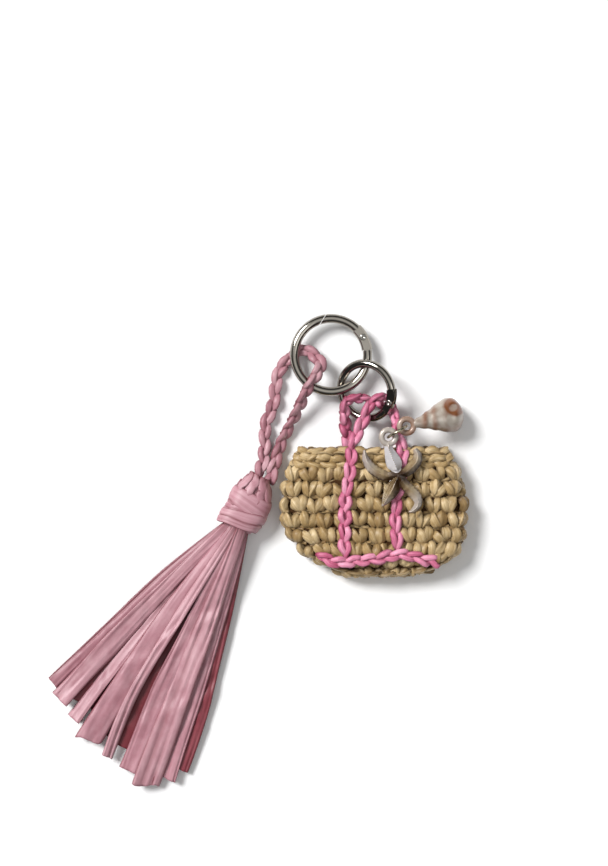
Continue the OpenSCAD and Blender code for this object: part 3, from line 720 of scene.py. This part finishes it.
# a stitch leg: across, up and out of the fabric, as shares of its width and height and in millimetres
LEG = ((0.05, -0.5, -0.8), (0.15, -0.24, 0.5), (0.26, 0.12, 0.9), (0.33, 0.42, -0.6))
ROW_H = 6.3
EDGE_INSET = 2.3  # how far the fabric lies inside the outline of the stitches
LEFT_CORNER = 1.85  # how square the lower corners are: 2 is an ellipse
RIGHT_CORNER = 2.8
SECTION = 0.42  # how square the tote's horizontal section is: 1 is an ellipse
BASE_BELOW = -18  # rows under this belong to the base
WALL_HALF = 31  # the side pieces begin this far from the middle


def bag_half_width(y, side, inset):
    """Half width at height y above the widest line, on the left (-1) or right (1)."""
    power = LEFT_CORNER if side < 0 else RIGHT_CORNER
    upper = BAG_HALF_W * (1 - 0.18 * (np.clip(y, 0, None) / BAG_TOP) ** 2)
    share = np.clip(-y / BAG_DEPTH, 0, 1)
    lower = (BAG_HALF_W - inset) * (1 - share**power) ** (1 / power)
    return np.where(y >= 0, upper - inset, lower)


def bag_ring(y, inset, half_t, n=480):
    """Closed outline of the tote at height y above its widest line, from the middle of the back."""
    left, right = bag_half_width(y, -1, inset), bag_half_width(y, 1, inset)
    a = -np.pi / 2 - 2 * np.pi * np.arange(n) / n
    x = (right - left) / 2 + (right + left) / 2 * boxy(np.cos(a), SECTION)
    under = np.clip((y + BAG_DEPTH - inset) / 6.5, 0, 1)
    t = half_t * math.sqrt(max(1 - (1 - under) ** 2, 0.01))
    z = BAG_H + t * boxy(np.sin(a), SECTION)
    return np.stack([x + BAG_MIDDLE[0], np.full(n, y + BAG_MIDDLE[1]), z], 1)


def bag_point(y, share):
    """Points of the tote at height y and shares of the way round, and the whole way's length."""
    ring = bag_ring(y, EDGE_INSET, YARN_BASE)
    ring = np.vstack([ring, ring[:1]])
    s = lengths(ring)
    place = np.mod(share, 1) * s[-1]
    return np.stack([np.interp(place, s, ring[:, k]) for k in range(3)], 1), s[-1]


def bag_frame(y, share):
    """Points on the tote, their tangents, upward directions and outward normals."""
    p, total = bag_point(y, share)
    higher = bag_point(min(y + 0.6, BAG_TOP), share)[0]
    lower = bag_point(max(y - 0.6, -BAG_DEPTH + EDGE_INSET + 0.3), share)[0]
    up = unit(higher - lower)
    step = 0.4 / total
    tangent = unit(bag_point(y, share + step)[0] - bag_point(y, share - step)[0])
    normal = unit(np.cross(tangent, up))
    return p, tangent, up, normal


STRIPE_LEFT = [(7.8, -37.25), (7, -46), (5.5, -56), (5.1, -68), (5.6, -78.2)]
STRIPE_RIGHT = [(27.8, -37.25), (27, -46), (25.4, -56), (25, -66), (25.4, -75.2)]
STRIPE_BASE = [
    (-5.4, -77.6), (0, -79.8), (5.8, -80.4), (12.8, -79.4), (19.4, -78.6), (25.4, -77.3), (33.4, -78.6),
    (40.6, -80.2),
]
STRIPE_H = 13.5
STRIPE_SINK = 1.0  # how much deeper the stitches sit under a stripe
BOTTOM_CURVE = 1.8  # how far the lowest rows curve up at their ends


def under_stripe(x, y, reach):
    """Whether a stitch lies within reach of a pink stripe."""
    for route in (STRIPE_LEFT, STRIPE_RIGHT):
        pts = np.array(route)
        if pts[-1, 1] - 1 < y < pts[0, 1] and abs(x - np.interp(-y, -pts[:, 1], pts[:, 0])) < reach:
            return True
    base = np.array(STRIPE_BASE)
    return base[0, 0] < x < base[-1, 0] and abs(y - np.interp(x, base[:, 0], base[:, 1])) < reach


def stitch(mesh, p, tangent, up, normal, w, h):
    """One puffy V stitch: two fat loop legs that part at the top, over a strand that runs along the row."""
    turn = rng.normal(0.06, 0.24)
    c, s = math.cos(turn), math.sin(turn)
    tangent, up = tangent * c + up * s, up * c - tangent * s
    shade = rng.uniform(0.3, 0.75)
    for side in rng.permutation([-1, 1]):
        j = rng.normal(0, 0.03, (4, 2))
        size = rng.uniform(0.85, 1.15)
        pts, normals = [], []
        for k, (lat, rise, out) in enumerate(LEG):
            lat, rise = side * lat + j[k, 0], rise + j[k, 1]
            pts.append(p + tangent * lat * w + up * rise * h + normal * out)
            normals.append(normal + tangent * 0.55 * side + up * (0.25 if k == 0 else -0.1))
        tone = shade + rng.uniform(-0.15, 0.15)
        leaf(mesh, pts, normals, w * 0.29 * size, 1.5, tone, fat=0.5, crease=0.2, sides=16, skew=1.25,
             fold=0.6)
    sag = rng.normal(0, 0.15, 3)
    places = ((-0.55, 0), (-0.15, sag[0]), (0.2, sag[1]), (0.55, 0))
    bar = [p + tangent * x * w + up * (-0.56 * h + y) + normal * -0.7 for x, y in places]
    # painted shade: the strand under the legs gets mostly darker tones than the legs
    leaf(mesh, bar, [normal] * 4, 0.8, 0.7, rng.uniform(0, 0.6), fat=0.8, deep=0.3)


def region(p, y):
    """Which crocheted piece a stitch belongs to."""
    if y < BASE_BELOW:
        return "base"
    if p[0] < BAG_MIDDLE[0] - WALL_HALF:
        return "left"
    if p[0] > BAG_MIDDLE[0] + WALL_HALF:
        return "right"
    return "front" if p[2] > BAG_H else "back"


crochet = {name: Mesh() for name in ("front", "back", "left", "right", "base", "front_rim", "back_rim")}
ROWS = [13.6, 7.6, 1.5, -4.5, -10.4, -16.0, -20.8, -24.6]
for j, y in enumerate(ROWS):
    total = bag_point(y, np.zeros(1))[1]
    count = max(6, round(total / STITCH_W))
    share = (np.arange(count) + 0.5 * (j % 2) + rng.uniform(-0.06, 0.06, count)) / count
    p, tangent, up, normal = bag_frame(y, share)
    for k in range(count):
        if p[k, 2] > BAG_H + 3 and under_stripe(p[k, 0], p[k, 1], reach=3.4):
            p[k] -= normal[k] * STRIPE_SINK
        p[k, 1] += BOTTOM_CURVE * (y < BASE_BELOW) * ((p[k, 0] - BAG_MIDDLE[0]) / 25) ** 2
        place = p[k] + rng.normal(0, 0.22, 3)
        stitch(crochet[region(p[k], y)], place, tangent[k], up[k], normal[k], total / count * 1.06,
               ROW_H * (0.93 if y > -20 else 0.8))

# braided rim: two chained rounds at the mouth
for name, start, end in (("front_rim", 0.25, 0.75), ("back_rim", 0.75, 1.25)):
    for y, w, stagger in ((20.9, 4.6, 0.5), (18.0, 4.8, 0.3)):
        p, _, _, normal = bag_frame(y, np.linspace(start, end, 140))
        chain(crochet[name], p + normal * 0.1, normal, w, 3.6, 5.6, stagger, back=False, jitter=0.16,
              leg=0.29, cross=0.3, straw=True)
lip = bag_point(21.4, np.linspace(0, 1, 260))[0] - [0, 0.4, 0]
chain(crochet["back_rim"], lip, np.tile([0, 1.0, 0], (len(lip), 1)), 3.4, 2.0, 6.2, stagger=0.4, back=False,
      leg=0.33, straw=True)

# closing row along the bottom
x = np.linspace(-27.5, 31, 60)
share = np.abs(x) / BAG_HALF_W
power = np.where(x < 0, LEFT_CORNER, RIGHT_CORNER)
drop = (BAG_DEPTH - 1.6) * (1 - share**power) ** (1 / power)
line = np.column_stack([x, -drop, np.zeros(len(x))]) + [*BAG_MIDDLE, BAG_H]
outward = unit(np.cross(headings(line), [0, 0, 1.0]))
chain(crochet["base"], line, outward, 7.5, 2.4, 6.0, stagger=0.3, back=False, jitter=0.1, leg=0.29,
      straw=True)

# a dark sheet of painted shade inside the fabric, seen between the stitches and down the mouth
SHADE_SHEET_SIDES = 160
shade_sheet = Mesh()
down = np.concatenate([np.linspace(21.2, -16, 14), np.linspace(-18, -25.0, 10)])
back_up = np.concatenate([np.linspace(-22.0, -18, 5), np.linspace(-16, 21.2, 12)])
outer = np.array([bag_ring(y, EDGE_INSET + 0.5, YARN_BASE - 0.45, SHADE_SHEET_SIDES) for y in down])
inner = np.array([bag_ring(y, 4.4, 2.4, SHADE_SHEET_SIDES) for y in back_up])
outer_end = np.tile(outer[-1].mean(0), (SHADE_SHEET_SIDES, 1))
inner_end = np.tile(inner[0].mean(0), (SHADE_SHEET_SIDES, 1))
shade_sheet.grid(np.concatenate([outer, [outer_end]]), wrap_v=True)
shade_sheet.grid(np.concatenate([[inner_end], inner, outer[:1]]), wrap_v=True)

for name, node_name in (
    ("front", "front_wall"), ("back", "back_wall"), ("left", "left_side"), ("right", "right_side"),
    ("base", "base"), ("front_rim", "front_rim"), ("back_rim", "back_rim"),
):
    make("crochet_" + name, crochet[name], "tote", STRAW, ["bag_" + node_name])
make("crochet_shade_sheet", shade_sheet, "tote", STRAW_SHADE)

for name, route, w in (("left", STRIPE_LEFT, 4.5), ("right", STRIPE_RIGHT, 4.2), ("base", STRIPE_BASE, 4.2)):
    mesh = Mesh()
    path = smooth([(*p, STRIPE_H) for p in route], 8)
    off = path[:, 0] - BAG_MIDDLE[0]
    path[:, 2] -= 1.2 * (np.clip((off - 20) / 6, 0, 1) + np.clip((-18 - off) / 6, 0, 1))
    stagger, opens = (0.5, 1) if name == "base" else (0.15, -1)
    upward = np.tile([0, 0, 1.0], (len(path), 1))
    chain(mesh, path, upward, w, 2.3, 5.9, stagger, opens=opens, leg=0.25, jitter=0.1)
    make("stripe_" + name, mesh, "tote", HOT_PINK, ["bag_stripe_" + name])

KNOT_TURNS = ((18.3, -19.2, 11.4, 0.4), (18.3, -19.3, 11.6, 1.5), (18.2, -19.2, 11.9, 2.5))
knot = Mesh()
for k, (x, y, z, turn) in enumerate(KNOT_TURNS):
    reach = np.array([math.cos(turn), math.sin(turn), 0]) * 1.15
    pts = [np.array([x, y, z]) - reach, np.array([x, y, z + 0.45]), np.array([x, y, z]) + reach]
    leaf(knot, pts, [(0, 0, 1)] * 3, 0.75, 0.5, 0.3 * k, fat=0.5)
make("handle_tail_knot", knot, "tote", HOT_PINK, ["handle_end_knot"])


# ---- charms
BEAD_TONE = 0.05
LOOP_R = 2.72
LOOP_WIRE = 1.15
STAR_LOOP = np.array([22.06, -31.88, 15.4])
SHELL_LOOP = np.array([29.06, -27.68, 15.4])


def charm_loop(mesh, centre, tone):
    a, b = mesh_angles(np.linspace(0, 2 * np.pi, 64, endpoint=False), 24)
    r = LOOP_R + LOOP_WIRE * np.cos(b)
    points = np.stack([r * np.cos(a), r * np.sin(a), LOOP_WIRE * np.sin(b)], -1) + centre
    mesh.grid(points, tone, wrap_u=True, wrap_v=True, flip=True)


def bead(mesh, centre, r):
    turns = np.linspace(0, 2 * np.pi, 8, endpoint=False)
    a, b = np.meshgrid(turns, np.linspace(-np.pi / 2, np.pi / 2, 6), indexing="ij")
    outward = np.stack([np.cos(b) * np.cos(a), np.cos(b) * np.sin(a), np.sin(b)], -1)
    mesh.grid(outward * r + centre, BEAD_TONE, wrap_u=True)


def remeshed(mesh, voxel):
    """The strands of mesh melted into one skin: its corners in millimetres and its faces."""
    data = bpy.data.meshes.new("melt")
    data.from_pydata((np.vstack(mesh.verts) * MM).tolist(), [], mesh.faces)
    obj = bpy.data.objects.new("melt", data)
    bpy.context.scene.collection.objects.link(obj)
    mod = obj.modifiers.new("melt", "REMESH")
    mod.mode, mod.voxel_size = "VOXEL", voxel * MM
    soft = obj.modifiers.new("soft", "SMOOTH")
    soft.factor, soft.iterations = 0.5, 4
    done = bpy.data.meshes.new_from_object(obj.evaluated_get(bpy.context.evaluated_depsgraph_get()))
    verts = np.array([v.co for v in done.vertices]) / MM
    faces = [tuple(p.vertices) for p in done.polygons]
    bpy.data.objects.remove(obj)
    return verts, faces


# the star's middle and its arms: place, half width and half thickness at stations along each
STAR_MIDDLE = (25.7, -46.4, 2.0, 1.8)
STAR_ARMS = [
    [(25.2, -44.9, 1.6, 1.7), (24.4, -42.6, 3.2, 1.9), (23.1, -39.4, 2.7, 1.7), (22.1, -36.4, 1.8, 1.4),
     (22.0, -34.8, 1.3, 1.1)],
    [STAR_MIDDLE, (22.7, -47.0, 1.7, 1.7), (19.8, -46.6, 2.2, 1.6), (15.6, -44.0, 2.1, 1.5),
     (13.4, -40.6, 1.6, 1.3), (12.7, -36.9, 0.5, 0.7)],
    [STAR_MIDDLE, (28.4, -45.6, 2.0, 1.7), (30.9, -43.7, 2.3, 1.6), (32.9, -41.2, 2.1, 1.5),
     (33.2, -38.7, 1.7, 1.4), (32.2, -36.5, 0.9, 0.9)],
    [STAR_MIDDLE, (25.0, -48.4, 1.7, 1.8), (23.8, -51.3, 2.9, 1.8), (22.3, -54.1, 2.6, 1.6),
     (20.6, -57.0, 1.4, 1.1), (19.4, -58.6, 0.3, 0.6)],
    [STAR_MIDDLE, (27.4, -49.1, 1.9, 1.8), (29.9, -52.0, 2.3, 1.7), (32.7, -54.9, 2.1, 1.5),
     (33.4, -57.7, 1.6, 1.3), (31.7, -60.0, 1.2, 1.1), (29.7, -60.8, 0.4, 0.6)],
]
STAR_SLOPE = math.tan(math.radians(3))
SHADE_SIDE = np.array([0.6, -0.8])  # side of each arm painted darker as shade, away from the key light at the upper left


def star_height(y):
    return STAR_LOOP[2] + (STAR_LOOP[1] - y) * STAR_SLOPE


def star_path(stations):
    return np.column_stack([stations[:, :2], star_height(stations[:, 1])])


def ridged(cx, cy):
    """Section of an arm: a ridge along the top and a nearly flat underside."""
    top = 1.4 * np.clip(1 - np.abs(cx), 0, 1) ** 1.15
    return cx, np.where(cy >= 0, np.maximum(top, 0.25 * np.abs(cy)), -0.3 * np.abs(cy))


melt = Mesh()
for arm in STAR_ARMS:
    stations = smooth(arm, 6)
    half_w, half_t = stations[:, 2], stations[:, 3]
    melt.sweep(star_path(stations), (0, 0, 1), half_w, half_t, crease=0.0, sides=20, shape=ridged)
charm_loop(melt, STAR_LOOP, 0.5)
verts, faces = remeshed(melt, 0.24)
arms = [smooth(arm, 10) for arm in STAR_ARMS]
every = np.vstack(arms)
whose = np.repeat(np.arange(len(arms)), [len(arm) for arm in arms])
offset = verts[:, None, :2] - every[None, :, :2]
far = np.hypot(offset[..., 0], offset[..., 1])
near = np.argmin(far, 1)
rows = np.arange(len(verts))
share = np.clip(far[rows, near] / every[near, 2], 0, 1.2)
# facing: how far a point lies on the side of its arm away from the light
facing = unit(offset[rows, near] + 1e-6) @ SHADE_SIDE
outward = np.hypot(verts[:, 0] - STAR_MIDDLE[0], verts[:, 1] - STAR_MIDDLE[1])
on_loop = np.hypot(verts[:, 0] - STAR_LOOP[0], verts[:, 1] - STAR_LOOP[1]) < 3.8
on_top = (whose[near] == 0) & ~on_loop
# tone: darker on the side away from the light, painted shade; darker towards the arm edges and in the middle
# of the star, lighter towards the tips
worn = 0.3 + 0.4 * share**3 + 0.3 * share * facing
worn += 0.35 * np.exp(-((outward / 4) ** 2)) - 0.25 * np.clip(outward / 12, 0, 1)
ribs = np.sin(outward * 4.4) * np.clip(share * 2 - 0.6, 0, 1) * (outward > 5) * ~on_loop
verts[:, 2] += 0.05 * ribs
tone = np.where(on_loop, 0.05, np.where(on_top, 0.25 * share**3, np.clip(worn - 0.06 * ribs, 0, 1)))
silver = np.where(on_top, 1.0, np.where(on_loop, 0.5, 0.45 * np.clip((outward - 8) / 4, 0, 1)))
star = Mesh()
star.add(verts, faces, tone, np.column_stack([silver, silver, silver]))
# rows of beads: which arm, how far across it, bead size
for arm, part, size in ((3, 0.3, 0.34), (3, 0.6, 0.34), (0, 0.02, 0.24), (3, 0.05, 0.22)):
    stations = smooth(STAR_ARMS[arm], 8)
    path = star_path(stations)
    across = np.cross(headings(path), [0, 0, 1.0])
    for i in range(6, len(path) - 6, 2):
        rise = 1.3 * (1 - part) ** 0.9 * stations[i, 3] - 0.08
        bead(star, path[i] + across[i] * part * stations[i, 2] + [0, 0, rise], size)
make("starfish_cast", star, "starfish", CREAM, ["starfish_charm"])

SHELL_TURN = math.radians(14)
SHELL_R = 7.0
SHELL_SIDES = 96
# distance along the shell, height of its middle, share of its radius
SHELL_STATIONS = [
    (2.9, 15.2, 0.2), (4.6, 14.7, 0.29), (6.8, 13.6, 0.39), (10.4, 11.6, 0.6), (14.7, 9.0, 0.87),
    (18.0, 7.2, 0.97), (20.4, 7.0, 0.85), (22.0, 7.0, 0.55), (22.8, 7.0, 0.25), (23.0, 7.0, 0.02),
]
APERTURE = (19.6, 2.6)  # distance along the shell and across it
stations = smooth(SHELL_STATIONS, 12)
d, a = mesh_angles(stations[:, 0], SHELL_SIDES)
radius = SHELL_R * np.repeat(stations[:, 2][:, None], SHELL_SIDES, 1)
whorl = np.sin((d - 3) * 1.5 + a)
radius = radius * (1 + (0.06 - 0.05 * np.clip((d - 8) / 6, 0, 1)) * whorl)
lat = radius * np.cos(a)
up = radius * np.sin(a) + stations[:, 1][:, None]
gap = np.hypot((d - APERTURE[0]) / 1.3, (lat - APERTURE[1]) / 1.1)
open_side = (np.sin(a) > 0) * 1.0
up = up - open_side * 0.7 * np.exp(-((gap / 1.5) ** 4))
rim = np.clip(0.4 + 0.35 * (d - 18) / 3 + 0.3 * lat / 5, 0, 1)
stain = open_side * rim * np.exp(-(((gap - 2.3) / 1.0) ** 2))
bands = 0.34 * np.exp(-(((d - 9.0) / 3.5) ** 2)) * (0.5 + 0.5 * whorl)
# painted shade: the side of the shell facing -Y, away from the light, darker towards its wide end
under = 0.3 * np.clip(-lat / radius - 0.3, 0, 1) * np.clip((d - 10) / 4, 0, 1)
shell = Mesh()
points = np.stack([
    SHELL_LOOP[0] + d * math.cos(SHELL_TURN) - lat * math.sin(SHELL_TURN),
    SHELL_LOOP[1] + d * math.sin(SHELL_TURN) + lat * math.cos(SHELL_TURN), up], -1)
shell.grid(points, np.clip(0.25 + stain + bands + under, 0, 1).ravel(), wrap_v=True, flip=True)
charm_loop(shell, SHELL_LOOP, 0.45)
make("shell_cast", shell, "shell", GREY, ["shell_charm"])


# ---- rings
# half of a rivet from the middle of its dimple outwards: radius, height past the ring's surface
RIVET_HEAD = (
    (0.0, 0.02), (0.35, 0.06), (0.5, 0.26), (0.7, 0.32), (1.05, 0.24), (1.3, 0.02), (1.3, -0.2), (0.8, -0.22),
)


def rivet(name, joint, reach, body, nodes):
    """Rivet on a gate's hinge, with a domed, dimpled head at each end."""
    centre = np.array(joint["pos_m"]) / MM - [0, 0, SURFACE]
    axis = unit(joint["axis"])
    side = unit(np.cross(axis, [1.0, 0.3, 0.2]))
    other = np.cross(axis, side)
    profile = [(r, reach + h) for r, h in RIVET_HEAD]
    profile += [(r, -h) for r, h in reversed(profile)]
    a = np.linspace(0, 2 * np.pi, 48, endpoint=False)[:, None]
    outward = side * np.cos(a) + other * np.sin(a)
    points = np.array([centre + axis * h + outward * max(r, 0.01) for r, h in profile])
    mesh = Mesh()
    mesh.grid(points, wrap_v=True)
    make(name, mesh, body, RIVET, nodes)


JOINTS = {joint["name"]: joint for joint in frame["record"]["behaviour"]["joints"]}
rivet("main_rivet", JOINTS["main_gate_hinge"], 1.6, "main_ring", ["main_ring_hinge_pin"])
rivet("link_rivet", JOINTS["link_gate_hinge"], 1.45, "link_ring", ["link_ring_hinge_pin"])

for name, obj in frame["nodes"].items():
    if obj.hide_render:
        continue
    material, slot = NICKEL, "ring_metal"
    if "spring" in name:
        material, slot = STEEL, "spring_steel"
    elif "jump" in name:
        material, slot = OLD_GOLD, "jump_ring_metal"
    obj.data.materials.clear()
    obj.data.materials.append(material)

# ---- studio
paper, nt, bsdf = new_material("paper_floor")
coords = node(nt, "ShaderNodeTexCoord").outputs["Object"]
tooth = noise(nt, coords, 900.0, 3.0)
nt.links.new(mix(nt, tooth, (0.90, 0.90, 0.90), (0.93, 0.93, 0.93)), bsdf.inputs["Base Color"])
bsdf.inputs["Roughness"].default_value = 0.9
FLOOR_HALF = 12.0  # metres
floor_data = bpy.data.meshes.new("floor")
corners = [(x * FLOOR_HALF, y * FLOOR_HALF, SURFACE * MM) for x, y in ((-1, -1), (1, -1), (1, 1), (-1, 1))]
floor_data.from_pydata(corners, [], [(0, 1, 2, 3)])
floor_data.materials.append(paper)
floor = bpy.data.objects.new("floor", floor_data)
bpy.context.scene.collection.objects.link(floor)

# sky brightness by height: pale at the horizon, dark higher up for the metal to reflect, bright overhead
SKY = [(0.16, 0.60), (0.24, 0.03), (0.6, 0.04), (0.88, 0.40), (0.98, 1.0)]
world = bpy.data.worlds.new("studio")
world.use_nodes = True
nt = world.node_tree
nt.nodes.clear()
coords = node(nt, "ShaderNodeTexCoord").outputs["Generated"]
height = node(nt, "ShaderNodeSeparateXYZ", {0: coords}).outputs[2]
sky = ramp(nt, height, [(place, (level, level, level)) for place, level in SKY])
back_node = node(nt, "ShaderNodeBackground", {"Color": sky, "Strength": 0.95})
out = node(nt, "ShaderNodeOutputWorld", {"Surface": back_node.outputs[0]})
bpy.context.scene.world = world


LIGHT_AIM = (0, -0.05, 0)


def light(name, kind, place, energy, **size):
    data = bpy.data.lights.new(name, kind)
    data.energy = energy
    for key, value in size.items():
        setattr(data, key, value)
    obj = bpy.data.objects.new(name, data)
    obj.location = place
    direction = np.array(LIGHT_AIM) - np.array(place)
    yaw = math.atan2(direction[1], direction[0])
    pitch = math.acos(-direction[2] / np.linalg.norm(direction))
    obj.rotation_euler = (pitch, 0, yaw - math.pi / 2)
    bpy.context.scene.collection.objects.link(obj)


light("key", "SUN", (-0.75, 0.5, 0.95), 3.9, angle=0.4)
light("fill", "AREA", (0.6, -0.3, 1.1), 2.0, shape="DISK", size=0.7)
scene = bpy.context.scene
scene.view_settings.view_transform = "Standard"
scene.view_settings.look = "None"
